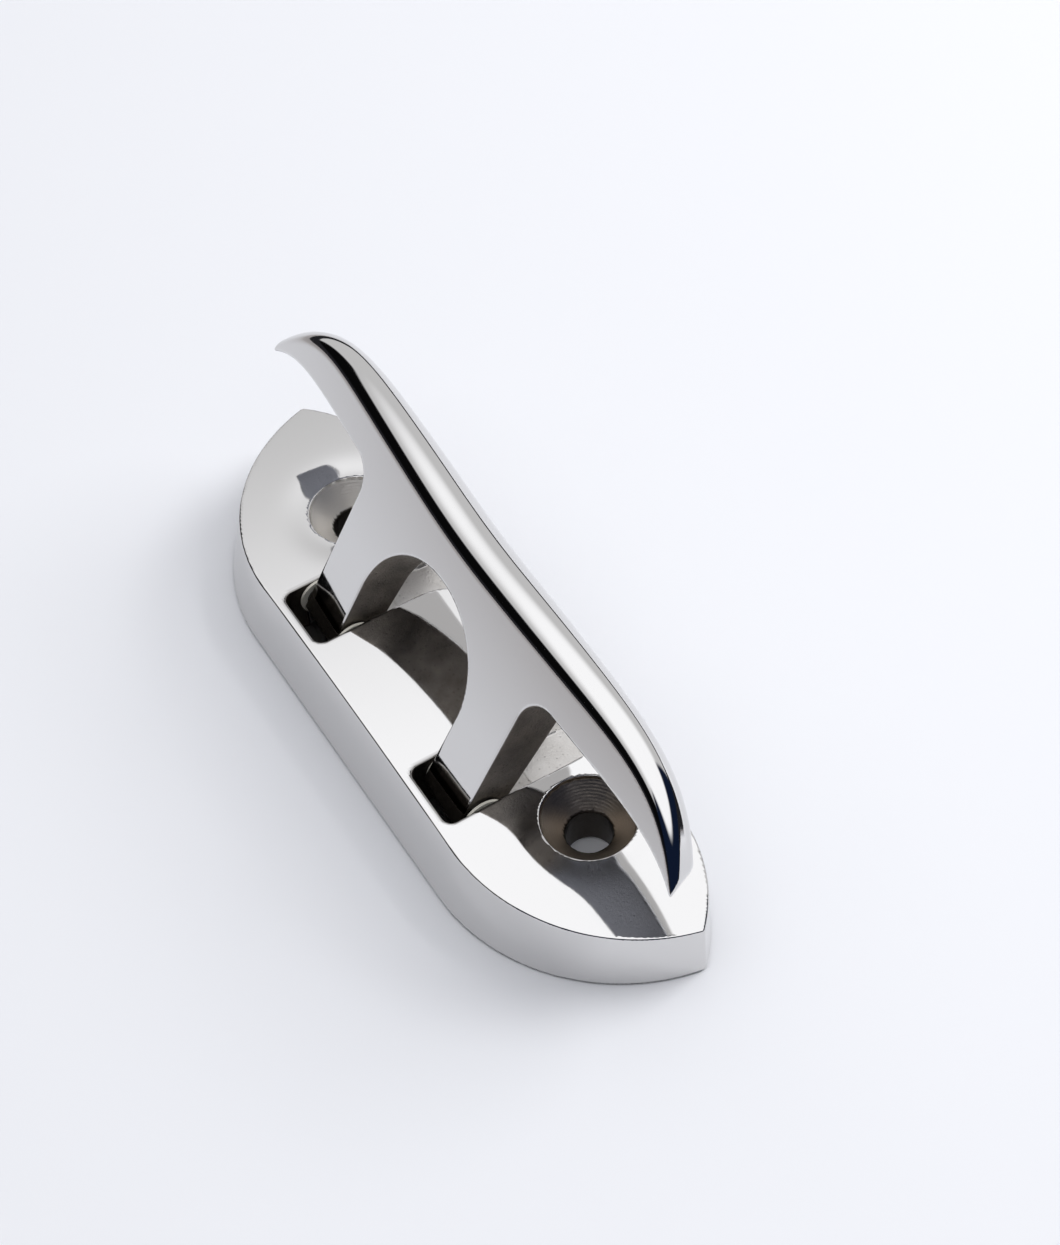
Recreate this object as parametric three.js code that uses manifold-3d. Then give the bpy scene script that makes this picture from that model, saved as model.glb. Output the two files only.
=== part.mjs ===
// A folding mooring cleat, cast in 316 stainless steel and mirror polished.
// The horn stands on two legs in slots of the base and folds down to +Y about one hinge line.
// Millimetres, +Z up.  X runs along the cleat, the hinge line is parallel to X, and the two screw
// holes lie on Y = 0.  The origin is on the flat underside, half way between the screw holes.
import * as THREE from 'three';
import { mergeVertices } from 'three/addons/utils/BufferGeometryUtils.js';
import Module from 'manifold-3d';

// ---- driving dimensions ----------------------------------------------------------------------
const HALF_LENGTH = 57.2;      // centre to tip: the cleat is a 4 1/2 inch size
const CROWN_HEIGHT = 11.3;     // underside to the top of the crowned deck side
const CROWN_DROP = 1.8;        // how much lower the top is at the tips
const LEFT_TOP_Y = -18.8;      // long side, top edge
const LEFT_FOOT_Y = -21.5;     // long side, at the underside: the wall flares
const BOW_RADIUS = 30.4;       // plan radius of each end of the long side
const BOW_X = 27.4;            // where the straight part of the long side ends
const RIGHT_Y = 11.0;          // short side, top edge
const RIGHT_FLARE = 0.6;
const SHOULDER_RADIUS = 24.0;  // plan radius of each end of the short side
const SHOULDER_X = 39.5;

const SCREW_X = 33.3;          // screw holes for 1/4 inch countersunk screws
const SCREW_BORE = 6.8;
const SINK_DIAMETER = 13.6;
const SINK_RIM = 0.7;          // straight wall above the 90 degree cone

const PIN_Y = -11.4;           // hinge line
const PIN_Z = 7.8;
const PIN_DIAMETER = 4.3;
const PIN_LENGTH = 18.6;
const OPEN_ANGLE = 60;         // degrees between the folded horn and the standing one

const SLOT_INNER_X = 13.25;
const SLOT_OUTER_X = 24.15;
const SLOT_LEFT_Y = -17.3;
const SLOT_CORNER = 1.5;
const STEP_Y = PIN_Y + 2.35;   // the edge that the toe of a standing leg rests against
const FLOOR_NEAR_Z = 3.5;      // channel floor at the step
const FLOOR_FAR_Z = 1.6;       // channel floor at the short side

const LEG_INNER_X = 13.85;
const LEG_OUTER_X = 23.4;
const LEG_THICKNESS = 7.0;
const ARCH_RISE = 13.2;        // height of the arch's half ellipse
const ARCH_SPRING = 10.3;      // where the half ellipse starts, up from the hinge line
const TIP_CUT_X = 57.0;        // the horn's tips are cut off here, aslant behind
const TIP_X = 59.8;            // where its curves would run out if they weren't
const DOME = 4.8;              // how far the horn's face falls back towards its tips
const BACK_TAPER = 0.1;        // thickness gained per mm up a leg
const ARM_THICKNESS = 10.9;    // across the crest at the middle
const ARM_THINNING = 5.0;      // and how much of that goes towards the tips
const CREST_HEIGHT = 33.2;     // from the hinge line up the face
const CREST_FALL = 16.5;
const CREST_DIP = 0.55;        // slight hollow over the arch
const UNDER_HEIGHT = 24.2;     // underside of the arms
const UNDER_FALL = 7.2;
const FRONT_ROUND = 4.7;       // the crest is rounded into the face
const BACK_ROUND = 6.5;        // and into the back
const ARM_FILLET = 4.5;
const TOE_REACH = 4.5;         // how far the toe runs below the hinge line
const TOE_PROUD = 0.6;         // and how far it stands out of the back of the leg
const BORE_CLEARANCE = 0.3;

const WASHER_DIAMETER = 6.6;
const WASHER_THICKNESS = 0.4;

const KEEPER = { x0: 7.0, x1: 30.4, y0: -18.4, y1: -3.4, thickness: 1.4 };
const KEEPER_GAP = 0.15;
const GROOVE_WIDTH = 4.6;
const SCREW_M = 2.5;           // keeper screws, M2.5 countersunk
const KEEPER_SCREW_LENGTH = 5.5;
const KEEPER_SCREWS = [[10.2, -6.2], [27.2, -6.2]];

// ---- booleans ----------------------------------------------------------------------------------
const wasm = await Module();
wasm.setup();

function solid(geometry) {
  const bare = geometry.clone();
  bare.deleteAttribute('normal');
  bare.deleteAttribute('uv');
  const merged = mergeVertices(bare, 1e-5);
  return new wasm.Manifold(new wasm.Mesh({
    numProp: 3,
    vertProperties: new Float32Array(merged.attributes.position.array),
    triVerts: new Uint32Array(merged.index.array),
  }));
}

function geometryOf(manifold) {
  const mesh = manifold.getMesh();
  const geometry = new THREE.BufferGeometry();
  geometry.setAttribute('position', new THREE.BufferAttribute(mesh.vertProperties, 3));
  geometry.setIndex(new THREE.BufferAttribute(mesh.triVerts, 1));
  geometry.computeVertexNormals();
  return geometry;
}

const intersection = (first, ...rest) =>
  rest.reduce((body, tool) => body.intersect(solid(tool)), solid(first));
const cut = (body, ...tools) => tools.reduce((left, tool) => left.subtract(solid(tool)), body);

// ---- extrusions along each axis ------------------------------------------------------------------
function shapeOf(points) {
  return new THREE.Shape(points.map(([a, b]) => new THREE.Vector2(a, b)));
}

function extrudeZ(shape, z0, z1, curveSegments = 12) {
  const settings = { depth: z1 - z0, bevelEnabled: false, curveSegments };
  return new THREE.ExtrudeGeometry(shape, settings).translate(0, 0, z0);
}

// shape drawn in (x, z), extruded along y
function extrudeY(shape, y0, y1, curveSegments = 12) {
  return extrudeZ(shape, -y1, -y0, curveSegments).rotateX(Math.PI / 2);
}

// shape drawn in (y, z), extruded along x
function extrudeX(shape, x0, x1, curveSegments = 12) {
  return extrudeZ(shape, x0, x1, curveSegments).rotateX(Math.PI / 2).rotateZ(Math.PI / 2);
}

function rodX(diameter, x0, x1, y, z, segments = 32) {
  const rod = new THREE.CylinderGeometry(diameter / 2, diameter / 2, x1 - x0, segments);
  return rod.rotateZ(Math.PI / 2).translate((x0 + x1) / 2, y, z);
}

function box(x0, x1, y0, y1, z0, z1) {
  const block = new THREE.BoxGeometry(x1 - x0, y1 - y0, z1 - z0);
  return block.translate((x0 + x1) / 2, (y0 + y1) / 2, (z0 + z1) / 2);
}

// a turned piece: profile of (radius, z), closed on the axis
function turned(profile, x, y, segments = 40) {
  const points = profile.map(([r, z]) => new THREE.Vector2(r, z));
  return new THREE.LatheGeometry(points, segments).rotateX(Math.PI / 2).translate(x, y, 0);
}

// ---- base ------------------------------------------------------------------------------------------
// The plan outline, anticlockwise from the -X tip: long side, +X tip, short side.
function baseOutline(leftY, rightY) {
  const bowY = leftY + BOW_RADIUS;
  const shoulderY = rightY - SHOULDER_RADIUS;
  // The tip is where the bow arc and the shoulder arc cross, found by halving.
  const bowX = (y) => BOW_X + Math.sqrt(Math.max(BOW_RADIUS ** 2 - (y - bowY) ** 2, 0));
  const shoulderX = (y) => SHOULDER_X + Math.sqrt(SHOULDER_RADIUS ** 2 - (y - shoulderY) ** 2);
  let [low, high] = [leftY, rightY];
  for (let i = 0; i < 50; i += 1) {
    const y = (low + high) / 2;
    if (bowX(y) < shoulderX(y)) low = y; else high = y;
  }
  const bowEnd = Math.asin((low - bowY) / BOW_RADIUS);
  const shoulderStart = Math.asin((low - shoulderY) / SHOULDER_RADIUS);
  const arc = (side, centreX, centreY, radius, from, to, steps) => {
    const points = [];
    for (let i = 0; i <= steps; i += 1) {
      const angle = from + (to - from) * i / steps;
      points.push(new THREE.Vector2(side * (centreX + radius * Math.cos(angle)),
        centreY + radius * Math.sin(angle)));
    }
    return points;
  };
  const bow = (side) => arc(side, BOW_X, bowY, BOW_RADIUS, -Math.PI / 2, bowEnd, 20);
  const shoulder = (side) =>
    arc(side, SHOULDER_X, shoulderY, SHOULDER_RADIUS, shoulderStart, Math.PI / 2, 12);
  return [
    ...bow(-1).reverse(), ...bow(1),
    ...shoulder(1).slice(1), ...shoulder(-1).reverse().slice(0, -1),
  ];
}

// A closed skin between a lower and an upper ring that have the same number of points.
function drafted(lower, upper, z0, z1) {
  const count = lower.length;
  const positions = [...lower.flatMap((p) => [p.x, p.y, z0]), ...upper.flatMap((p) => [p.x, p.y, z1])];
  const faces = [];
  for (const [a, b, c] of THREE.ShapeUtils.triangulateShape(lower, [])) {
    faces.push(c, b, a, a + count, b + count, c + count);
  }
  for (let i = 0; i < count; i += 1) {
    const next = (i + 1) % count;
    faces.push(i, next, next + count, i, next + count, i + count);
  }
  const geometry = new THREE.BufferGeometry();
  geometry.setAttribute('position', new THREE.Float32BufferAttribute(positions, 3));
  geometry.setIndex(faces);
  return geometry;
}

function crownZ(x) {
  return CROWN_HEIGHT - CROWN_DROP * (x / HALF_LENGTH) ** 2;
}

// Everything under the crowned top: a parabola in the XZ plane, carried along Y.
function crownedBlock() {
  const reach = HALF_LENGTH + 1;
  const shape = new THREE.Shape();
  shape.moveTo(-reach, 0);
  shape.lineTo(reach, 0);
  shape.lineTo(reach, crownZ(reach));
  const summit = 2 * CROWN_HEIGHT - crownZ(reach);
  shape.quadraticCurveTo(0, summit, -reach, crownZ(reach));
  return extrudeY(shape, LEFT_FOOT_Y - 1, RIGHT_Y + RIGHT_FLARE + 1, 32);
}

function roundedRectangle(x0, x1, y0, y1, radius) {
  const shape = new THREE.Shape();
  shape.moveTo(x0 + radius, y0);
  shape.lineTo(x1 - radius, y0);
  shape.absarc(x1 - radius, y0 + radius, radius, -Math.PI / 2, 0, false);
  shape.lineTo(x1, y1);
  shape.lineTo(x0, y1);
  shape.absarc(x0 + radius, y0 + radius, radius, Math.PI, Math.PI * 1.5, false);
  return shape;
}

// The slot that a leg turns in, open underneath as far as the step.
function slotWell(side) {
  const [x0, x1] = [SLOT_INNER_X, SLOT_OUTER_X].map((x) => side * x).sort((a, b) => a - b);
  const shape = roundedRectangle(x0, x1, SLOT_LEFT_Y, STEP_Y, SLOT_CORNER);
  return extrudeZ(shape, -1, CROWN_HEIGHT + 1, 6);
}

// The channel that the folded leg lies in, with a floor that falls to the short side.
function legChannel(side) {
  const [x0, x1] = [SLOT_INNER_X, SLOT_OUTER_X].map((x) => side * x).sort((a, b) => a - b);
  const end = RIGHT_Y + 5;
  const fall = (FLOOR_NEAR_Z - FLOOR_FAR_Z) / (RIGHT_Y - STEP_Y);
  const section = shapeOf([
    [STEP_Y - 1, FLOOR_NEAR_Z + fall], [end, FLOOR_FAR_Z - fall * (end - RIGHT_Y)],
    [end, CROWN_HEIGHT + 1], [STEP_Y - 1, CROWN_HEIGHT + 1],
  ]);
  return extrudeX(section, x0, x1);
}

// What is taken off the end of the centre island so that the horn's arch closes round it.
function islandRelief() {
  const clearance = LEG_INNER_X - SLOT_INNER_X;
  const centreY = PIN_Y + ARCH_SPRING;
  const shape = new THREE.Shape();
  shape.moveTo(SLOT_INNER_X, centreY);
  shape.lineTo(SLOT_OUTER_X, centreY);
  shape.lineTo(SLOT_OUTER_X, RIGHT_Y + 5);
  shape.lineTo(-SLOT_OUTER_X, RIGHT_Y + 5);
  shape.lineTo(-SLOT_OUTER_X, centreY);
  shape.lineTo(-SLOT_INNER_X, centreY);
  shape.absellipse(0, centreY, SLOT_INNER_X, ARCH_RISE - clearance, Math.PI, 0, true);
  return extrudeZ(shape, FLOOR_FAR_Z, CROWN_HEIGHT + 1, 32);
}

// The rounded corner of each end lobe, where the arm of the folded horn grows out of its leg.
function lobeCorner(side) {
  const radius = 5.5;
  const cornerX = SLOT_OUTER_X - 0.01;
  const shape = new THREE.Shape();
  shape.moveTo(side * cornerX, RIGHT_Y - radius);
  const arc = new THREE.EllipseCurve(side * (cornerX + radius), RIGHT_Y - radius, radius, radius,
    side > 0 ? Math.PI : 0, Math.PI / 2, side > 0).getPoints(8);
  const points = [new THREE.Vector2(side * (cornerX - 1), RIGHT_Y - radius), ...arc,
    new THREE.Vector2(side * (cornerX + radius), RIGHT_Y + 5),
    new THREE.Vector2(side * (cornerX - 1), RIGHT_Y + 5)];
  if (side > 0) points.reverse();
  return extrudeZ(new THREE.Shape(points), FLOOR_FAR_Z, CROWN_HEIGHT + 1);
}

function deckScrewHole(side) {
  const top = crownZ(SCREW_X) + 1;
  const rim = crownZ(SCREW_X) - SINK_RIM;
  const [wide, narrow] = [SINK_DIAMETER / 2, SCREW_BORE / 2];
  return turned([[0, -1], [narrow, -1], [narrow, rim - (wide - narrow)], [wide, rim], [wide, top],
    [0, top]], side * SCREW_X, 0);
}

// Grooves from the underside for the two ends of a hinge pin.
function pinGrooves(side) {
  const reach = PIN_LENGTH / 2 + 0.2;
  const middle = side * (SLOT_INNER_X + SLOT_OUTER_X) / 2;
  const half = GROOVE_WIDTH / 2;
  const shape = new THREE.Shape();
  shape.moveTo(PIN_Y - half, -1);
  shape.lineTo(PIN_Y + half, -1);
  shape.lineTo(PIN_Y + half, PIN_Z);
  shape.absarc(PIN_Y, PIN_Z, half, 0, Math.PI, false);
  return extrudeX(shape, middle - reach, middle + reach, 16);
}

function keeperRecess(side) {
  const [x0, x1] = [KEEPER.x0, KEEPER.x1].map((x) => side * x).sort((a, b) => a - b);
  return box(x0 - KEEPER_GAP, x1 + KEEPER_GAP, KEEPER.y0 - KEEPER_GAP, KEEPER.y1 + KEEPER_GAP,
    -1, KEEPER.thickness + KEEPER_GAP);
}

function tappedHole(side, [x, y]) {
  const radius = SCREW_M / 2 + 0.1;
  const depth = KEEPER_SCREW_LENGTH + 0.6;
  return turned([[0, 0], [radius, 0], [radius, depth], [0, depth + radius]], side * x, y, 20);
}

function baseCasting() {
  const foot = baseOutline(LEFT_FOOT_Y, RIGHT_Y + RIGHT_FLARE);
  const rim = baseOutline(LEFT_TOP_Y, RIGHT_Y);
  let body = intersection(drafted(foot, rim, 0, CROWN_HEIGHT), crownedBlock());
  body = cut(body, islandRelief());
  for (const side of [-1, 1]) {
    body = cut(body, slotWell(side), legChannel(side), lobeCorner(side), deckScrewHole(side),
      pinGrooves(side), keeperRecess(side));
    for (const place of KEEPER_SCREWS) body = cut(body, tappedHole(side, place));
  }
  return geometryOf(body);
}

// ---- horn --------------------------------------------------------------------------------------------
// Drawn folded: the hinge line is the local X axis, y runs up the face, z is out of the face.
const FACE_Z = LEG_THICKNESS / 2;

// The face outline: two legs, the arch between them, and the arms that sweep to the tips.
function hornOutline() {
  const shape = new THREE.Shape();
  const foot = -TOE_REACH - 1;
  const arm = (side) => {
    const points = [];
    for (let x = LEG_OUTER_X + ARM_FILLET; x < TIP_X; x += 1.5) {
      points.push(new THREE.Vector2(side * x, UNDER_HEIGHT - UNDER_FALL * (x / TIP_X) ** 8.8));
    }
    return points;
  };
  shape.moveTo(LEG_INNER_X, foot);
  shape.lineTo(LEG_OUTER_X, foot);
  shape.lineTo(LEG_OUTER_X, UNDER_HEIGHT - ARM_FILLET);
  shape.absarc(LEG_OUTER_X + ARM_FILLET, UNDER_HEIGHT - ARM_FILLET, ARM_FILLET, Math.PI, Math.PI / 2, true);
  for (const p of arm(1).slice(1)) shape.lineTo(p.x, p.y);
  shape.lineTo(TIP_X, CREST_HEIGHT + 1);
  shape.lineTo(-TIP_X, CREST_HEIGHT + 1);
  for (const p of arm(-1).slice(1).reverse()) shape.lineTo(p.x, p.y);
  shape.absarc(-LEG_OUTER_X - ARM_FILLET, UNDER_HEIGHT - ARM_FILLET, ARM_FILLET, Math.PI / 2, 0, true);
  shape.lineTo(-LEG_OUTER_X, foot);
  shape.lineTo(-LEG_INNER_X, foot);
  shape.lineTo(-LEG_INNER_X, ARCH_SPRING);
  shape.absellipse(0, ARCH_SPRING, LEG_INNER_X, ARCH_RISE, Math.PI, 0, true);
  shape.lineTo(LEG_INNER_X, foot);
  return shape;
}

// One section across the horn, from its domed face over the rounded crest and down its back.
function hornSection(x) {
  const reach = Math.abs(x) / TIP_X;
  const crest = CREST_HEIGHT - CREST_FALL * reach ** 7 - CREST_DIP * Math.exp(-((x / 15) ** 2));
  const face = FACE_Z - DOME * reach ** 2;
  const back = FACE_Z - ARM_THICKNESS + ARM_THINNING * reach ** 5;
  const fade = 1 - reach ** 4;
  const fit = Math.min(1, 0.97 * (face - back) / (fade * (FRONT_ROUND + BACK_ROUND)));
  const front = FRONT_ROUND * fade * fit;
  const rear = BACK_ROUND * fade * fit;
  const steps = [0, 1, 2, 3, 4, 5, 6].map((i) => i * Math.PI / 12);
  const low = -TOE_REACH - 2;
  return [
    [low, face], [low, back],
    ...steps.map((t) => [crest - rear + rear * Math.sin(t), back + rear - rear * Math.cos(t)]),
    ...steps.map((t) => [crest - front + front * Math.cos(t), face - front + front * Math.sin(t)]),
  ];
}

// The horn without its legs' outline: its sections joined from tip to tip.
function hornBlank() {
  const stations = [];
  for (let i = -24; i <= 24; i += 1) stations.push(57.4 * Math.sin(i / 24 * Math.PI / 2));
  const rings = stations.map((x) => hornSection(x).map(([u, w]) => [x, u, w]));
  const count = rings[0].length;
  const faces = [];
  for (let i = 0; i + 1 < rings.length; i += 1) {
    for (let j = 0; j < count; j += 1) {
      const [a, b] = [i * count + j, i * count + (j + 1) % count];
      faces.push(a, b, b + count, a, b + count, a + count);
    }
  }
  const last = (rings.length - 1) * count;
  for (let j = 1; j + 1 < count; j += 1) {
    faces.push(0, j + 1, j, last, last + j, last + j + 1);
  }
  const geometry = new THREE.BufferGeometry();
  geometry.setAttribute('position', new THREE.Float32BufferAttribute(rings.flat(2), 3));
  geometry.setIndex(faces);
  return geometry;
}

// Seen from above the crest: what the slanting cuts behind the tips leave.
function tipCuts() {
  const face = FACE_Z - DOME * (TIP_CUT_X / TIP_X) ** 2;
  const shape = new THREE.Shape();
  shape.moveTo(-TIP_CUT_X, FACE_Z + 1);
  shape.lineTo(-TIP_CUT_X, face);
  shape.lineTo(-TIP_CUT_X + 9, face - 10);
  shape.lineTo(TIP_CUT_X - 9, face - 10);
  shape.lineTo(TIP_CUT_X, face);
  shape.lineTo(TIP_CUT_X, FACE_Z + 1);
  shape.closePath();
  return shape;
}

// Seen from the end: a round heel about the pin, a toe behind it, and a back that tapers.
function hornSide() {
  const crest = CREST_HEIGHT + 1;
  const back = FACE_Z - LEG_THICKNESS;
  const shape = new THREE.Shape();
  shape.moveTo(crest, FACE_Z);
  shape.lineTo(0, FACE_Z);
  shape.absarc(0, 0, FACE_Z, Math.PI / 2, Math.PI, false);
  shape.lineTo(-FACE_Z, -0.4);
  shape.lineTo(-TOE_REACH, -1.8);
  shape.lineTo(-TOE_REACH, back - TOE_PROUD);
  shape.lineTo(-1.4, back - TOE_PROUD);
  shape.lineTo(-0.4, back);
  shape.lineTo(crest, back - BACK_TAPER * crest);
  shape.closePath();
  return shape;
}

function hornCasting() {
  const deep = 2 * FACE_Z + 12;
  let body = intersection(
    extrudeZ(hornOutline(), -deep, deep, 16),
    hornBlank(),
    extrudeY(tipCuts(), -20, 40),
    extrudeX(hornSide(), -TIP_X, TIP_X, 12),
  );
  const bore = PIN_DIAMETER + BORE_CLEARANCE;
  body = cut(body, rodX(bore, -SLOT_OUTER_X, SLOT_OUTER_X, 0, 0));
  return geometryOf(body);
}

// ---- hinge pieces ------------------------------------------------------------------------------------
function hingePin() {
  const half = PIN_LENGTH / 2;
  const chamfer = 0.4;
  const radius = PIN_DIAMETER / 2;
  const profile = [[0, -half], [radius - chamfer, -half], [radius, -half + chamfer],
    [radius, half - chamfer], [radius - chamfer, half], [0, half]];
  return turned(profile, 0, 0, 32).rotateY(Math.PI / 2);
}

function thrustWasher() {
  const half = WASHER_THICKNESS / 2;
  const [inner, outer] = [PIN_DIAMETER / 2 + BORE_CLEARANCE / 2, WASHER_DIAMETER / 2];
  const profile = [[inner, -half], [outer, -half], [outer, half], [inner, half], [inner, -half]];
  return turned(profile, 0, 0, 32).rotateY(Math.PI / 2);
}

// A plate let into the underside, with two posts that hold the pin's ends up in their grooves.
function pinKeeper(side) {
  const [x0, x1] = [KEEPER.x0, KEEPER.x1].map((x) => side * x).sort((a, b) => a - b);
  let body = solid(box(x0, x1, KEEPER.y0, KEEPER.y1, 0, KEEPER.thickness));
  const postTop = PIN_Z - PIN_DIAMETER / 2 - 0.1;
  const postHalf = GROOVE_WIDTH / 2 - 0.2;
  const posts = [
    [SLOT_INNER_X - 3.8, SLOT_INNER_X - 0.3],
    [SLOT_OUTER_X + 0.3, SLOT_OUTER_X + 3.8],
  ];
  for (const [a, b] of posts) {
    const [p0, p1] = [side * a, side * b].sort((m, n) => m - n);
    body = body.add(solid(box(p0, p1, PIN_Y - postHalf, PIN_Y + postHalf, 0, postTop)));
  }
  const [head, hole] = [SCREW_M + 0.15, SCREW_M / 2 + 0.15];
  for (const [x, y] of KEEPER_SCREWS) {
    const bore = turned([[0, -0.5], [head + 0.5, -0.5], [hole, head - hole], [hole, 3], [0, 3]],
      side * x, y, 24);
    body = cut(body, bore);
  }
  return geometryOf(body);
}

// An M2.5 countersunk screw, head down, with a hexagon socket.
function keeperScrew() {
  const [head, shank] = [SCREW_M * 0.94, SCREW_M / 2];
  const flush = 0.1;
  const body = solid(turned([[0, flush], [head, flush], [head, flush + 0.15],
    [shank, flush + 0.15 + head - shank], [shank, KEEPER_SCREW_LENGTH - 0.3],
    [shank - 0.3, KEEPER_SCREW_LENGTH], [0, KEEPER_SCREW_LENGTH]], 0, 0, 24));
  const socket = new THREE.CylinderGeometry(0.85, 0.85, 1.6, 6).rotateX(Math.PI / 2);
  return geometryOf(cut(body, socket));
}

// ---- the assembly --------------------------------------------------------------------------------------
const polished = { color: 0xd9dadd, roughness: 0.06, metalness: 1 };
const ground = { color: 0xb9babd, roughness: 0.3, metalness: 1 };
const nylon = { color: 0xe9e6dc, roughness: 0.5, metalness: 0 };

function piece(name, geometry, finish) {
  const mesh = new THREE.Mesh(geometry, new THREE.MeshStandardMaterial(finish));
  mesh.name = name;
  return mesh;
}

const group = new THREE.Group();
group.add(piece('base', baseCasting(), polished));

const standing = new THREE.Group();
standing.position.set(0, PIN_Y, PIN_Z);
standing.rotation.x = THREE.MathUtils.degToRad(OPEN_ANGLE);
standing.add(piece('horn', hornCasting(), polished));
group.add(standing);

for (const [side, end] of [[-1, 'a'], [1, 'b']]) {
  const middle = side * (SLOT_INNER_X + SLOT_OUTER_X) / 2;
  const pin = piece(`hinge_pin_${end}`, hingePin(), ground);
  pin.position.set(middle, PIN_Y, PIN_Z);
  group.add(pin);

  const washers = [
    ['inner', (SLOT_INNER_X + LEG_INNER_X) / 2],
    ['outer', (SLOT_OUTER_X + LEG_OUTER_X) / 2],
  ];
  for (const [face, x] of washers) {
    const washer = piece(`thrust_washer_${end}_${face}`, thrustWasher(), nylon);
    washer.position.set(side * x, PIN_Y, PIN_Z);
    group.add(washer);
  }

  group.add(piece(`pin_keeper_${end}`, pinKeeper(side), ground));
  KEEPER_SCREWS.forEach(([x, y], index) => {
    const screw = piece(`keeper_screw_${end}_${index + 1}`, keeperScrew(), ground);
    screw.position.set(side * x, y, 0);
    group.add(screw);
  });
}

export default group;
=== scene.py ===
"""Folding boat cleat on a pale table.

Two mirror-polished steel castings, with their pins, washers, keepers and screws."""
import math

import bpy
import numpy as np
from mathutils import Matrix


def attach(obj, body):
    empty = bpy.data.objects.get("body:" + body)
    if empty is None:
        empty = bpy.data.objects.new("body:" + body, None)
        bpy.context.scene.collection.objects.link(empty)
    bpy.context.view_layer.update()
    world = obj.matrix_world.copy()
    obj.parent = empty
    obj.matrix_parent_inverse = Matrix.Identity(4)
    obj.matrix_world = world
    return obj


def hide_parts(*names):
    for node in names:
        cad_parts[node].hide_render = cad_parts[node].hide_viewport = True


MM = 0.001

# The base casting, in millimetres: underside at z = 0, screw holes on y = 0, length along x.
HALF_LENGTH = 57.2
CROWN_Z, CROWN_FALL = 11.3, 1.8
BOW_R, BOW_X, LEFT_Y, LEFT_FLARE = 30.4, 27.4, -18.8, 2.7
SHOULDER_R, SHOULDER_X, RIGHT_Y, RIGHT_FLARE = 24.0, 39.5, 11.0, 0.6
SLOT_IN, SLOT_OUT, SLOT_Y, SLOT_CORNER = 13.25, 24.15, -17.3, 1.5
PIN_Y, PIN_Z, LEAN_DEG = -11.4, 7.8, 30.0
STEP_Y, STEP_Z, MOUTH_Z = PIN_Y + 2.35, 3.5, 1.6
ISLAND_Y, ISLAND_RISE, LOBE_R = -1.1, 12.6, 5.5
SCREW_X, SCREW_R, HEAD_R = 33.3, 3.4, 6.8
DISH_DEEP, DISH_WIDE = 0.22, 3.2
GROOVE_X, GROOVE_HALF, GROOVE_R = 18.7, 9.5, 2.3
KEEPER_X, KEEPER_Y, KEEPER_DEPTH = (6.85, 30.55), (-18.55, -3.25), 1.55
SINK_BOTTOM, LOBE_LAP = 6.59, 0.5
BOW_EDGE, CROWN_EDGE, FOOT_EDGE, RECESS_EDGE, SEAT_EDGE, SLOT_END = 0.25, 0.3, 0.15, 0.35, 0.28, 0.05

# The horn casting in its own frame: x along the pins, u up its face, w out of its face.
TIP_X, FACE_W, FACE_DOME = 59.8, 3.5, 4.8
FOOT_THICK, THICKEN, ARM_THICK = 7.0, 0.10, 11.2
CREST_MID, CREST_TIP, CREST_POWER, CREST_DIP, DIP_WIDTH = 33.5, 17.0, 7.0, 0.55, 15.0
CREST_TILT, TILT_TIP = 0.05, 0.10
UNDER_MID, UNDER_FALL, UNDER_POWER = 24.2, 7.2, 8.8
FRONT_ROUND, BACK_ROUND = 4.0, 6.8
ARCH_RX, ARCH_RISE, ARCH_SPRING = 13.85, 13.2, 10.3
LEG_OUT, BORE_R, HEEL_R = 23.4, 2.3, 3.5
TOE_DOWN, TOE_FRONT, TOE_BACK = 4.5, -1.0, -4.1
TIP_CUT, TIP_SLANT, BACK_FADE = 57.6, 0.5, 0.9
ARM_FILLET, BACK_BEND, TIP_EDGE, SIDE_EDGE = 4.5, 1.0, 0.25, 0.4
SKEW_DEG, SHIFT_X = -1.6, -0.2

# Side of the small cubes that each casting's surface is worked out on.
BASE_GRID, HORN_GRID = 0.36, 0.285


# ---------------------------------------------------------------- helpers

def linear(hex_colour):
    """An sRGB hex colour as linear red, green, blue and alpha."""
    s = np.array([int(hex_colour[i:i + 2], 16) for i in (1, 3, 5)]) / 255
    lin = np.where(s <= 0.04045, s / 12.92, ((s + 0.055) / 1.055) ** 2.4)
    return (*lin.tolist(), 1.0)


def node(tree, kind, inputs=(), **settings):
    """Adds a node. inputs maps a socket's name or number to a value or to another node's output."""
    made = tree.nodes.new(kind)
    for name, value in settings.items():
        setattr(made, name, value)
    for key, value in dict(inputs).items():
        if isinstance(value, bpy.types.NodeSocket):
            tree.links.new(value, made.inputs[key])
        else:
            made.inputs[key].default_value = value
    return made


# ---------------------------------------------------------------- surfaces

def round_max(a, b, r):
    """The larger of two distances, with the edge where they meet rounded to radius r."""
    return np.minimum(np.maximum(a, b), -r) + np.hypot(np.maximum(a + r, 0), np.maximum(b + r, 0))


def round_min(a, b, r):
    """The smaller of two distances, with the inner corner where they meet filled to radius r."""
    return -round_max(-a, -b, r)


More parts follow.
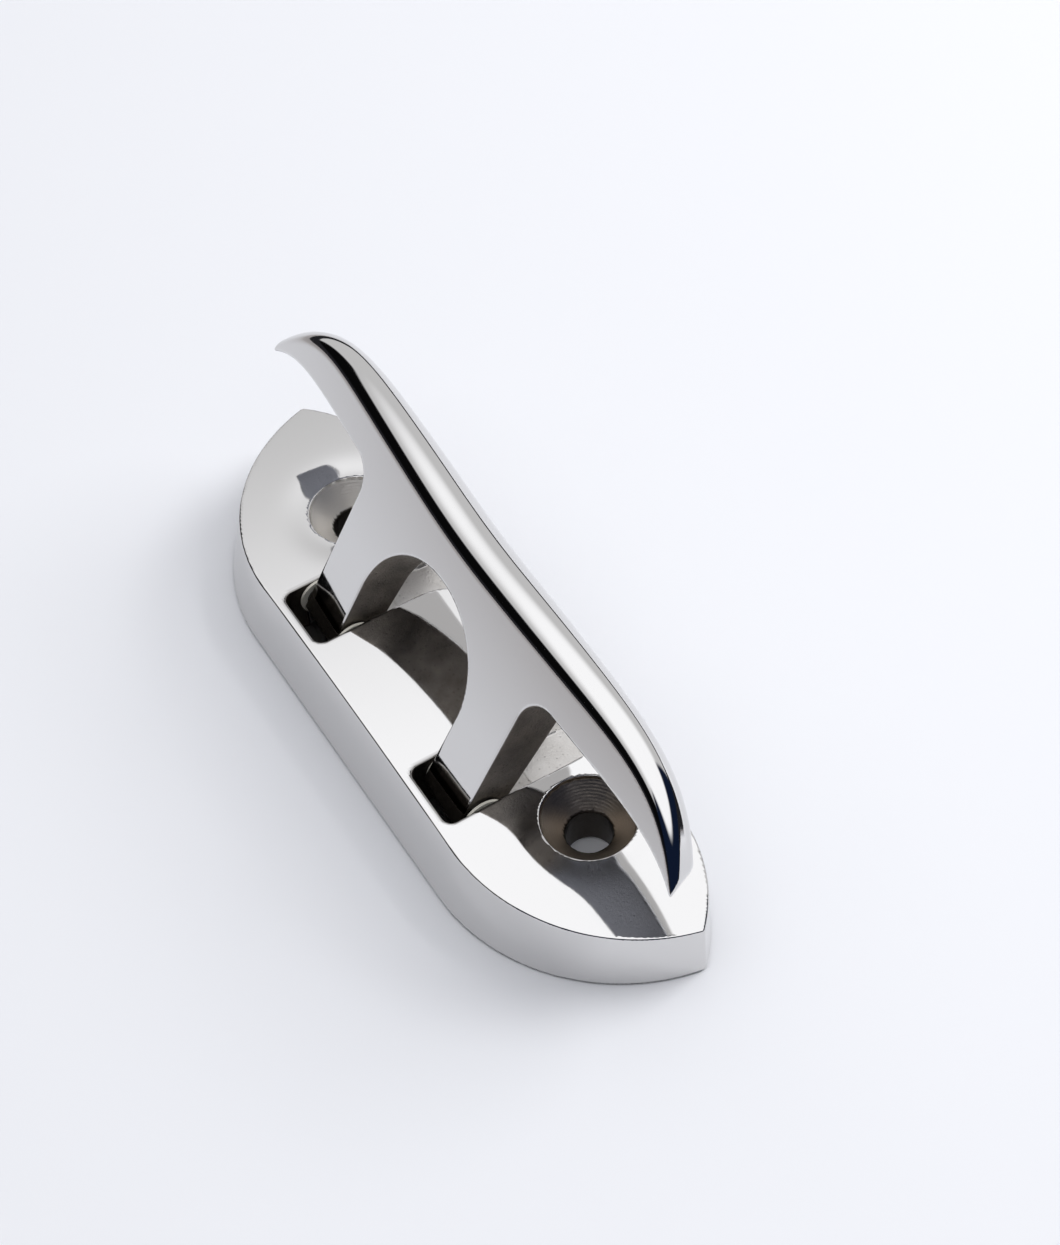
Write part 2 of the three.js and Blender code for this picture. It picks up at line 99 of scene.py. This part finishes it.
def base_fields(x, y, z):
    """Signed distances that make the base casting, negative inside the metal.

    Outline: a straight left wall that runs into bow arcs, and a right edge that runs into shoulder arcs,
    both leaning out towards the foot. The crown falls as x squared, and is dished a little round the screw
    seats, where the buffing wheel dug in.
    Recesses: two leg slots, two channels that run from them to the right edge, with a half ellipse as their
    inner side and a rounded lobe as their outer side, two countersunk screw holes, and the pin grooves and
    keeper recesses in the underside."""
    ax, foot = np.abs(x), 1 - z / CROWN_Z
    left = np.hypot(np.maximum(ax - BOW_X, 0),
                    np.maximum(LEFT_Y + BOW_R - LEFT_FLARE * foot - y, 0)) - BOW_R
    right = np.hypot(np.maximum(ax - SHOULDER_X, 0),
                     np.maximum(y - (RIGHT_Y - SHOULDER_R + RIGHT_FLARE * foot), 0)) - SHOULDER_R
    radius = np.hypot(ax - SCREW_X, y)
    dish = DISH_DEEP * np.exp(-(np.maximum(radius - HEAD_R, 0) / DISH_WIDE) ** 2)
    top = z - (CROWN_Z - CROWN_FALL * (x / HALF_LENGTH) ** 2 - dish)
    body = round_max(left, right, BOW_EDGE)
    body = round_max(body, top, CROWN_EDGE)
    body = round_max(body, -z, FOOT_EDGE)

    floor = STEP_Z - (y - STEP_Y) * (STEP_Z - MOUTH_Z) / (RIGHT_Y - STEP_Y) - z
    slot = round_max(round_max(SLOT_IN - ax, ax - SLOT_OUT, SLOT_END), SLOT_Y - y, SLOT_CORNER)
    well = np.maximum(slot, np.minimum(y - STEP_Y, floor))
    ellipse = np.hypot(ax / SLOT_IN, np.maximum(y - ISLAND_Y, 0) / ISLAND_RISE)
    waist = np.maximum.reduce([(1 - ellipse) * SLOT_IN, ax - SLOT_OUT, ISLAND_Y - y, floor])
    lobe_x, lobe_y = SLOT_OUT + LOBE_R, RIGHT_Y - LOBE_R
    lobe = np.maximum.reduce([LOBE_R - np.hypot(ax - lobe_x, y - lobe_y), ax - lobe_x,
                              SLOT_OUT - LOBE_LAP - ax, lobe_y - y, floor])
    groove = np.maximum(np.maximum(np.abs(y - PIN_Y) - GROOVE_R, np.abs(ax - GROOVE_X) - GROOVE_HALF),
                        np.where(z > PIN_Z, np.hypot(y - PIN_Y, z - PIN_Z) - GROOVE_R, -z - 1))
    keeper = np.maximum.reduce([KEEPER_X[0] - ax, ax - KEEPER_X[1], KEEPER_Y[0] - y, y - KEEPER_Y[1],
                                z - KEEPER_DEPTH])
    cone = np.maximum((radius - SCREW_R - (z - SINK_BOTTOM)) * math.sqrt(0.5), radius - HEAD_R)
    hole = np.minimum(radius - SCREW_R, cone)
    return body, well, np.minimum(waist, lobe), np.minimum(groove, keeper), hole


def base_casting(x, y, z):
    """The body less each recess; every edge is rounded as a hand-polished edge is."""
    body, well, channel, below, hole = base_fields(x, y, z)
    body = round_max(body, -well, RECESS_EDGE)
    body = round_max(body, -channel, RECESS_EDGE)
    return round_max(np.maximum(body, -below), -hole, SEAT_EDGE)


def horn_crest(ax):
    """Height of the crest over the pins, and its slope.

    It's a flat arch that dives to the tips as a high power of x, with a slight dip at the middle."""
    reach, dip = ax / TIP_X, CREST_DIP * np.exp(-(ax / DIP_WIDTH) ** 2)
    fall = CREST_MID - CREST_TIP
    height = CREST_MID - fall * reach ** CREST_POWER - dip
    slope = -fall * CREST_POWER / TIP_X * reach ** (CREST_POWER - 1) + dip * 2 * ax / DIP_WIDTH ** 2
    return height, slope


def horn_fields(x, u, w):
    """Signed distances that make the horn, negative inside the metal.

    The face is a dome that falls as x squared. The back leans away from it, then runs flat behind the
    arms. The crest is above and falls off to the back, more so towards the tips. Below are the undersides
    of the arms, the outer sides of the legs and the arch between them."""
    ax = np.abs(x)
    reach = ax / TIP_X
    face = w - (FACE_W - FACE_DOME * reach ** 2)
    thick = round_min(FOOT_THICK + THICKEN * np.maximum(u, 0), ARM_THICK, BACK_BEND)
    back = -(w - (FACE_W - thick))
    height, slope = horn_crest(ax)
    tilt = CREST_TILT + TILT_TIP * reach ** 4
    crest = (u - height + tilt * np.maximum(-face, 0)) / np.sqrt(1 + slope ** 2 + tilt ** 2)
    under_slope = -UNDER_FALL * UNDER_POWER / TIP_X * reach ** (UNDER_POWER - 1)
    underside = (UNDER_MID - UNDER_FALL * reach ** UNDER_POWER - u) / np.sqrt(1 + under_slope ** 2)
    below = round_min(underside, ax - LEG_OUT, ARM_FILLET)
    arch = (1 - np.hypot(x / ARCH_RX, np.maximum(u - ARCH_SPRING, 0) / ARCH_RISE)) * ARCH_RX
    return face, back, crest, below, arch


def horn_casting(x, u, w):
    """Face, back and crest meet in wide rounds that fade at the tips, which are cut off aslant behind. The
    undersides and the arch are cut crisply through them.

    Each leg ends in a round heel with a toe that meets the base's step, and is bored for its pin."""
    face, back, crest, below, arch = horn_fields(x, u, w)
    fade = 1 - np.minimum(np.abs(x) / TIP_X, 1) ** 4
    tip = (np.abs(x) - TIP_CUT - TIP_SLANT * face) / math.hypot(1, TIP_SLANT)
    metal = round_max(face, crest, TIP_EDGE + FRONT_ROUND * fade)
    metal = round_max(metal, back, BACK_ROUND * (1 - BACK_FADE * (1 - fade)))
    for side in (tip, below, arch):
        metal = round_max(metal, side, SIDE_EDGE)
    heel = np.hypot(np.minimum(u, 0), w) - HEEL_R
    toe = np.maximum.reduce([-u - TOE_DOWN, w - TOE_FRONT, TOE_BACK - w])
    metal = np.maximum(metal, np.where(u < 0, np.minimum(heel, toe), -9.0))
    return np.maximum(metal, BORE_R - np.hypot(u, w))


def surface_net(field, low, high, step):
    """Closed surface where field is zero, over a box of cubes of side step.

    Each cube that the surface crosses gets one vertex, at the mean of the crossings on its edges. Each grid
    edge that it crosses gets one four-sided face, joining the cubes round that edge. Six Newton steps along
    the field's slope then put every vertex on the true surface."""
    axes = [np.arange(a, b + step, step) for a, b in zip(low, high)]
    value = field(*np.meshgrid(*axes, indexing="ij"))
    inside = value < 0
    cubes = tuple(n - 1 for n in value.shape)
    total, count = np.zeros((*cubes, 3)), np.zeros(cubes)
    for axis in range(3):
        others = [k for k in range(3) if k != axis]
        for shift in ((0, 0), (0, 1), (1, 0), (1, 1)):
            start = [0, 0, 0]
            start[others[0]], start[others[1]] = shift
            stop = [s + (k == axis) for k, s in enumerate(start)]
            a, b = [tuple(slice(s, s + n) for s, n in zip(at, cubes)) for at in (start, stop)]
            crossed = inside[a] != inside[b]
            gap = np.where(crossed, value[a] - value[b], 1.0)
            for k in range(3):
                total[..., k] += crossed * (value[a] / gap if k == axis else start[k])
            count += crossed
    active = count > 0
    number = np.full(cubes, -1)
    number[active] = np.arange(active.sum())
    verts = (np.argwhere(active) + total[active] / count[active][:, None]) * step + np.array(low)
    faces = []
    for axis in range(3):
        others = [k for k in range(3) if k != axis]
        first = np.take(inside, range(inside.shape[axis] - 1), axis)
        at = np.argwhere(first != np.take(inside, range(1, inside.shape[axis]), axis))
        one, two = np.eye(3, dtype=int)[others]
        ring = [at - one - two, at - two, at, at - one]
        quad = np.stack([number[tuple(r.T)] for r in ring], 1)
        back = first[tuple(at.T)] == (axis == 1)
        quad[back] = quad[back][:, ::-1]
        faces.append(quad)
    faces = np.concatenate(faces)
    for _ in range(6):
        slope = gradient(field, verts)
        squared = np.maximum((slope * slope).sum(1), 0.25)
        verts = verts - (field(*verts.T) / squared)[:, None] * slope * 0.9
    return verts, faces


def gradient(field, verts):
    """Slope of the field at each vertex, by central differences."""
    tiny = 1e-3
    steps = tiny * np.eye(3)
    return np.stack([field(*(verts + s).T) - field(*(verts - s).T) for s in steps], 1) / (2 * tiny)


def casting(name, verts, normals, faces, attributes, material, body, replaced):
    """Puts a finished surface, in millimetres, into an object that rides on its body."""
    mesh = bpy.data.meshes.new(name)
    mesh.from_pydata(verts * MM, [], faces)
    mesh.polygons.foreach_set("use_smooth", np.ones(len(faces), bool))
    for key, values in attributes.items():
        mesh.attributes.new(key, "FLOAT", "POINT").data.foreach_set("value", values.astype(np.float32))
    mesh.materials.append(material)
    mesh.update()
    mesh.normals_split_custom_set_from_vertices(normals)
    obj = bpy.data.objects.new(name, mesh)
    bpy.context.scene.collection.objects.link(obj)
    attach(obj, body)
    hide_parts(replaced)
    return obj


def unit(vectors):
    """Vectors scaled to length one."""
    return vectors / np.linalg.norm(vectors, axis=1, keepdims=True)


def make_base(material):
    """The base casting, with each point's distance from the unpolished recesses and the screw seats, and a
    mask of painted shade for the slots, the screw bores and the underside.
    """
    verts, faces = surface_net(base_casting, (-59, -23, -1), (59, 13.2, 12.4), BASE_GRID)
    body, well, channel, below, hole = base_fields(*verts.T)
    rough = np.maximum.reduce([-well, -channel, -below])
    radius = np.hypot(np.abs(verts[:, 0]) - SCREW_X, verts[:, 1])
    # Painted shade: the deep slot walls, the screw bores and the underside get a mask that darkens their
    # colour.
    slot_shade = np.clip(1 - np.maximum(np.abs(well), 0) / 0.6, 0, 1) * (verts[:, 1] < STEP_Y + 0.6)
    bore_and_underside_shade = (np.abs(radius - SCREW_R) < 0.25) | (verts[:, 2] < 0.2)
    attributes = {"cast_edge": np.clip(rough, -2, 2), "turned_edge": np.clip(-hole, -2, 2),
                  "turn_radius": radius, "satin": np.zeros(len(verts)),
                  "painted_shade": np.maximum(slot_shade, bore_and_underside_shade)}
    return casting("base_casting", verts, unit(gradient(base_casting, verts)), faces, attributes,
                   material, "deck_base", "base")


def make_horn(material):
    """The horn casting, worked out with its face upright, then leant back about the pins, where it sits a
    degree or two askew, as a horn with play on its pins does."""
    verts, faces = surface_net(horn_casting, (-59.5, -6, -9.5), (59.5, 34, 5), HORN_GRID)
    face, back, crest, below, arch = horn_fields(*verts.T)
    low = np.where(verts[:, 1] < 0.5, 0.0, -2.0)
    rough = np.maximum.reduce([below, arch, low])
    satin = np.clip((np.abs(verts[:, 0]) - LEG_OUT - 3) / 3, 0, 1)
    lean = math.radians(LEAN_DEG)
    tilt = np.array([[1, 0, 0], [0, math.sin(lean), math.cos(lean)], [0, -math.cos(lean), math.sin(lean)]])
    turn = math.radians(SKEW_DEG)
    cos, sin = math.cos(turn), math.sin(turn)
    tilt = tilt @ np.array([[cos, sin, 0], [-sin, cos, 0], [0, 0, 1]])
    normals = unit(gradient(horn_casting, verts))
    placed = verts @ tilt + np.array([SHIFT_X, PIN_Y, PIN_Z])
    # Painted shade: the lower ends of the legs, round the pins and down in the slots, are darkened in colour.
    attributes = {"cast_edge": np.clip(rough, -2, 2), "turned_edge": np.full(len(verts), -2.0),
                  "turn_radius": np.zeros(len(verts)), "satin": satin,
                  "painted_shade": np.clip((1.9 - verts[:, 1]) / 0.4, 0, 1)}
    return casting("horn_casting", placed, normals @ tilt, faces, attributes,
                   material, "folding_horn", "horn")


# ---------------------------------------------------------------- materials

def cast_and_polished(name, polished, cast, waviness):
    """Investment-cast 316 stainless steel, buffed to a mirror outside and left as cast inside.

    The mirror gives the eye crisp reflections that sway a little where the buffing wheel cut unevenly, and
    hairline polishing marks. The cast skin gives a dull grey, browner on the horn, with sand-fine grain and
    small dark pits. The screw seats are turned, with fine rings. Deep in the slots, in the screw bores, on
    the underside and on the horn's heels, shade is painted in as a dark colour."""
    made = bpy.data.materials.new(name)
    made.use_nodes = True
    tree = made.node_tree
    tree.nodes.clear()
    out = node(tree, "ShaderNodeOutputMaterial")
    where = node(tree, "ShaderNodeTexCoord").outputs["Object"]
    cast_edge = node(tree, "ShaderNodeAttribute", attribute_name="cast_edge").outputs["Fac"]
    turned_edge = node(tree, "ShaderNodeAttribute", attribute_name="turned_edge").outputs["Fac"]
    radius = node(tree, "ShaderNodeAttribute", attribute_name="turn_radius").outputs["Fac"]

    def between(value, start, end, low=0.0, high=1.0):
        return node(tree, "ShaderNodeMapRange", {0: value, 1: start, 2: end, 3: low, 4: high}).outputs[0]

    def noise(size_mm, detail=3.0, rough=0.5, stretch=None):
        source = where
        if stretch:
            source = node(tree, "ShaderNodeMapping", {"Vector": where, "Scale": stretch}).outputs[0]
        return node(tree, "ShaderNodeTexNoise", {"Vector": source, "Scale": 1 / (size_mm * MM),
                                                 "Detail": detail, "Roughness": rough}).outputs["Fac"]

    def mix(kind, factor, a, b):
        sockets = {"FLOAT": (2, 3, 0), "RGBA": (6, 7, 2)}[kind]
        made_mix = node(tree, "ShaderNodeMix", {0: factor, sockets[0]: a, sockets[1]: b}, data_type=kind)
        return made_mix.outputs[sockets[2]]

    def math_node(operation, a, b):
        return node(tree, "ShaderNodeMath", {0: a, 1: b}, operation=operation).outputs[0]

    painted_shade = node(tree, "ShaderNodeAttribute", attribute_name="painted_shade").outputs["Fac"]
    is_cast = between(cast_edge, -0.16, -0.08)
    is_turned = between(turned_edge, -0.16, -0.08)

    # Polished: buffing sway over about 26 mm, and hairlines about 0.5 mm apart along the length.
    sway = noise(26.0, 1.0)
    hairline = noise(0.5, 2.0, 0.6, (0.06, 1.0, 1.0))
    polished_rough = between(hairline, 0.35, 0.75, 0.035, 0.075)
    # Cast skin: grain about 0.35 mm across, mottling over 3.5 mm, pits under 0.5 mm across, 0.8 mm apart.
    grain, mottle = noise(0.35, 4.0, 0.65), noise(3.5, 3.0)
    pits = node(tree, "ShaderNodeTexVoronoi", {"Vector": where, "Scale": 1 / (0.8 * MM)}).outputs["Distance"]
    pit_depth = between(pits, 0.08, 0.26)
    cast_tone = mix("RGBA", between(mottle, 0.3, 0.7), linear(cast[0]), linear(cast[1]))
    cast_tone = mix("RGBA", between(pit_depth, 0.0, 1.0, 0.30, 0.0), cast_tone, linear("#1d1a18"))
    # The undersides of the arms are ground satin, not buffed.
    satin = node(tree, "ShaderNodeAttribute", attribute_name="satin").outputs["Fac"]
    cast_tone = mix("RGBA", satin, cast_tone, linear("#94969d"))
    cast_rough = mix("FLOAT", satin, between(grain, 0.3, 0.7, 0.38, 0.58), 0.3)
    # Turned seat: rings 0.35 mm apart and smears of tool chatter. The seat at -X is painted brighter than the
    # seat at +X, as painted light and shade on the same turned metal.
    rings = math_node("SINE", math_node("MULTIPLY", radius, 18.0), 0.0)
    chatter = noise(1.2, 4.0, 0.7)
    across = node(tree, "ShaderNodeSeparateXYZ", {0: where}).outputs["X"]
    seat_lit_and_shaded_tone = mix("RGBA", between(across, -0.001, 0.001), linear("#f3efe9"), linear("#a79d92"))
    seat_rough = between(across, -0.001, 0.001, 0.50, 0.34)
    tone = mix("RGBA", is_turned, linear(polished), seat_lit_and_shaded_tone)
    tone = mix("RGBA", is_cast, tone, cast_tone)
    # Painted shade: metal deep in the slots and bores, under the base and on the horn's heels is painted dark
    # brown-grey.
    tone = mix("RGBA", painted_shade, tone, linear("#4b4641"))
    rough = mix("FLOAT", is_turned, polished_rough, seat_rough)
    rough = mix("FLOAT", is_cast, rough, cast_rough)

    height = math_node("MULTIPLY", sway, waviness)
    height = math_node("ADD", height, math_node("MULTIPLY", hairline, 0.0006))
    ring_height, chatter_height = math_node("MULTIPLY", rings, 0.004), math_node("MULTIPLY", chatter, 0.05)
    turned_height = math_node("ADD", ring_height, chatter_height)
    cast_height = math_node("ADD", math_node("MULTIPLY", grain, 0.07), math_node("MULTIPLY", pit_depth, 0.03))
    height = mix("FLOAT", is_turned, height, turned_height)
    height = mix("FLOAT", is_cast, height, cast_height)
    bump = node(tree, "ShaderNodeBump", {"Strength": 1.0, "Distance": MM, "Height": height})
    steel = node(tree, "ShaderNodeBsdfPrincipled", {"Base Color": tone, "Metallic": 1.0, "Roughness": rough,
                                                    "Normal": bump.outputs[0]})
    tree.links.new(steel.outputs[0], out.inputs[0])
    return made


def plain_material(name, tone_a, tone_b, metallic, rough_low, rough_high, grain_mm, depth_mm, stretch):
    """A small part's finish: two mottled tones, and one grain that sets both roughness and relief."""
    made = bpy.data.materials.new(name)
    made.use_nodes = True
    tree = made.node_tree
    tree.nodes.clear()
    out = node(tree, "ShaderNodeOutputMaterial")
    where = node(tree, "ShaderNodeTexCoord").outputs["Object"]
    source = node(tree, "ShaderNodeMapping", {"Vector": where, "Scale": stretch}).outputs[0]
    grain = node(tree, "ShaderNodeTexNoise", {"Vector": source, "Scale": 1 / (grain_mm * MM), "Detail": 4.0})
    mottle = node(tree, "ShaderNodeTexNoise", {"Vector": where, "Scale": 1 / (4 * MM), "Detail": 2.0})
    tone = node(tree, "ShaderNodeMix", {0: mottle.outputs["Fac"], 6: linear(tone_a), 7: linear(tone_b)},
                data_type="RGBA")
    rough = node(tree, "ShaderNodeMapRange", {0: grain.outputs["Fac"], 1: 0.3, 2: 0.7, 3: rough_low,
                                              4: rough_high})
    bump = node(tree, "ShaderNodeBump", {"Strength": 1.0, "Distance": depth_mm * MM,
                                         "Height": grain.outputs["Fac"]})
    shader = node(tree, "ShaderNodeBsdfPrincipled", {"Base Color": tone.outputs[2], "Metallic": metallic,
                                                     "Roughness": rough.outputs[0],
                                                     "Normal": bump.outputs[0]})
    tree.links.new(shader.outputs[0], out.inputs[0])
    return made


def dress_small_parts():
    """Gives each carried-over part the finish it has in life."""
    # Centreless-ground stainless pin: satin, with grinding lines round the shaft.
    ground = plain_material("ground_stainless_pin", "#b9b8b6", "#a6a5a4",
                            1.0, 0.16, 0.30, 0.3, 0.01, (8, 1, 1))
    # Moulded nylon washer: off-white, faintly waxy.
    nylon = plain_material("moulded_nylon_washer", "#e4e1d6", "#d9d5c8",
                           0.0, 0.34, 0.46, 0.5, 0.01, (1, 1, 1))
    # Blanked stainless plate: brushed along its length.
    plate = plain_material("brushed_stainless_plate", "#aeadab", "#999896",
                           1.0, 0.26, 0.42, 0.25, 0.012, (0.1, 1, 1))
    # Cold-headed A4 socket screw: bright, a little rough.
    screw = plain_material("cold_headed_stainless_screw", "#b0aeab", "#8f8d8b",
                           1.0, 0.2, 0.36, 0.4, 0.01, (1, 1, 1))
    finish = {"hinge_pin": ground, "thrust_washer": nylon, "pin_keeper": plate, "keeper_screw": screw}
    for name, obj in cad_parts.items():
        for start, material in finish.items():
            if name.startswith(start):
                for place in obj.material_slots:
                    place.material = material


# ---------------------------------------------------------------- camera, table and light

# The camera: focal length and sensor in millimetres, place and axes in metres.
LENS, SENSOR = 79.52, 36.0
CAMERA_PLACE = (0.21608, -0.10652, 0.32966)
CAMERA_RIGHT, CAMERA_UP = (0.5224, 0.8517, -0.0404), (-0.6626, 0.4354, 0.6094)
CAMERA_AHEAD = (-0.5366, 0.2916, -0.7919)

# The table, in metres: half its side, its gap under the part, and where its tone starts and ends its fall.
TABLE_HALF, TABLE_GAP = 3.0, 0.0002
FALL_WAY, FALL_START, FALL_END = (-0.54, -0.84, 0.0), 0.11, 0.34

# The studio. Each pair is a part of the direction looked in, from where a zone begins to where it's full.
ROOF_RISE = (0.62, 0.86)
FRONT_SIDE, FRONT_RISE = (-0.10, -0.18), (0.60, 0.54)
CORNER_SIDE, CORNER_RISE = (0.00, 0.08), (0.80, 0.70)
LINE_TOP, LINE_FOOT = (0.15, 0.13), (0.0, 0.01)
GROUND_RISE = (0.004, -0.004)
WALL_LIGHT, ROOF_LIGHT = (0.70, 0.70, 0.71, 1.0), (1.30, 1.31, 1.34, 1.0)
KEY_PLACE, KEY_SIZE, KEY_WATTS = (0.10, 0.85, 0.75), 0.70, 8.1

def make_camera():
    """A long lens from above the near end, turned a few degrees about its own axis."""
    camera = bpy.data.objects.new("camera", bpy.data.cameras.new("camera"))
    bpy.context.scene.collection.objects.link(camera)
    camera.data.lens, camera.data.sensor_width, camera.data.sensor_fit = LENS, SENSOR, "AUTO"
    camera.data.clip_start, camera.data.clip_end = 0.01, 20.0
    turn = Matrix([CAMERA_RIGHT, CAMERA_UP, [-v for v in CAMERA_AHEAD]]).transposed().to_quaternion()
    camera.matrix_world = Matrix.Translation(CAMERA_PLACE) @ turn.to_matrix().to_4x4()
    bpy.context.scene.camera = camera


def make_table():
    """A pale matte table top, level with the underside."""
    half = TABLE_HALF
    corners = [(-half, -half, 0), (half, -half, 0), (half, half, 0), (-half, half, 0)]
    mesh = bpy.data.meshes.new("table_top")
    mesh.from_pydata(corners, [], [(0, 1, 2, 3)])
    floor = bpy.data.objects.new("table_top", mesh)
    bpy.context.scene.collection.objects.link(floor)
    floor.location.z = -TABLE_GAP
    made = bpy.data.materials.new("matte_white_laminate")
    made.use_nodes = True
    shader = made.node_tree.nodes["Principled BSDF"]
    # The light falls away towards the front of the table, so the top is greyer there.
    place = node(made.node_tree, "ShaderNodeTexCoord").outputs["Object"]
    ahead = node(made.node_tree, "ShaderNodeVectorMath", {0: place, 1: FALL_WAY},
                 operation="DOT_PRODUCT").outputs["Value"]
    fall = node(made.node_tree, "ShaderNodeMapRange", {0: ahead, 1: FALL_START, 2: FALL_END}).outputs[0]
    tone = node(made.node_tree, "ShaderNodeMix", {0: fall, 6: linear("#e9eaee"), 7: linear("#bcb7b6")},
                data_type="RGBA").outputs[2]
    made.node_tree.links.new(tone, shader.inputs["Base Color"])
    shader.inputs["Roughness"].default_value = 0.6
    mesh.materials.append(made)


def make_light():
    """A white studio, bright overhead, with a dark room beyond the -Y side of the table, a blue-black corner
    beyond +X, a thin dark line along the horizon, and a soft key light from +Y."""
    bpy.context.scene.view_settings.view_transform = "Standard"
    world = bpy.data.worlds.new("studio")
    bpy.context.scene.world = world
    world.use_nodes = True
    tree = world.node_tree
    tree.nodes.clear()
    out = node(tree, "ShaderNodeOutputWorld")
    ray = node(tree, "ShaderNodeTexCoord").outputs["Generated"]
    rise = node(tree, "ShaderNodeSeparateXYZ", {0: ray}).outputs["Z"]

    def smooth(value, start, end):
        ramp = node(tree, "ShaderNodeMapRange", {0: value, 1: start, 2: end},
                    interpolation_type="SMOOTHSTEP")
        return ramp.outputs[0]

    def both(a, b):
        return node(tree, "ShaderNodeMath", {0: a, 1: b}, operation="MULTIPLY").outputs[0]

    def blend(factor, a, b):
        return node(tree, "ShaderNodeMix", {0: factor, 6: a, 7: b}, data_type="RGBA").outputs[2]

    side = node(tree, "ShaderNodeSeparateXYZ", {0: ray}).outputs["Y"]
    near = node(tree, "ShaderNodeSeparateXYZ", {0: ray}).outputs["X"]
    front = both(smooth(side, *FRONT_SIDE), smooth(rise, *FRONT_RISE))
    corner = both(smooth(near, *CORNER_SIDE), smooth(rise, *CORNER_RISE))
    line = both(smooth(rise, *LINE_TOP), smooth(rise, *LINE_FOOT))
    sky = blend(smooth(rise, *ROOF_RISE), WALL_LIGHT, ROOF_LIGHT)
    sky = blend(front, sky, linear("#0b0b0c"))
    sky = blend(corner, sky, linear("#131d33"))
    sky = blend(line, sky, linear("#26262a"))
    sky = blend(smooth(rise, *GROUND_RISE), sky, linear("#a9a5a6"))
    shade = node(tree, "ShaderNodeBackground", {"Color": sky, "Strength": 1.0})
    tree.links.new(shade.outputs[0], out.inputs[0])

    key = bpy.data.objects.new("key_light", bpy.data.lights.new("key_light", "AREA"))
    bpy.context.scene.collection.objects.link(key)
    key.data.shape, key.data.size, key.data.energy = "DISK", KEY_SIZE, KEY_WATTS
    key.visible_glossy = False
    key.location = KEY_PLACE
    key.rotation_mode = "QUATERNION"
    key.rotation_quaternion = (-key.location).to_track_quat("-Z", "Y")


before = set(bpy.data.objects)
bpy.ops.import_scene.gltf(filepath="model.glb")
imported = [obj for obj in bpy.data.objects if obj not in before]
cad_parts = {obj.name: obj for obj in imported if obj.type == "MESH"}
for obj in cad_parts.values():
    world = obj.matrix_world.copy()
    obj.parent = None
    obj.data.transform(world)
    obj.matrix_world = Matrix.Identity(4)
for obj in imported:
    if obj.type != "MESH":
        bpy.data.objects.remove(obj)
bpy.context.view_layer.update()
make_camera()
make_table()
make_light()
base_steel = cast_and_polished("mirror_polished_316_base", "#dbdad9", ("#d2cec9", "#e2dfdb"), 0.05)
horn_steel = cast_and_polished("mirror_polished_316_horn", "#dbdad9", ("#6f6963", "#8a837b"), 0.05)
make_base(base_steel)
make_horn(horn_steel)
dress_small_parts()
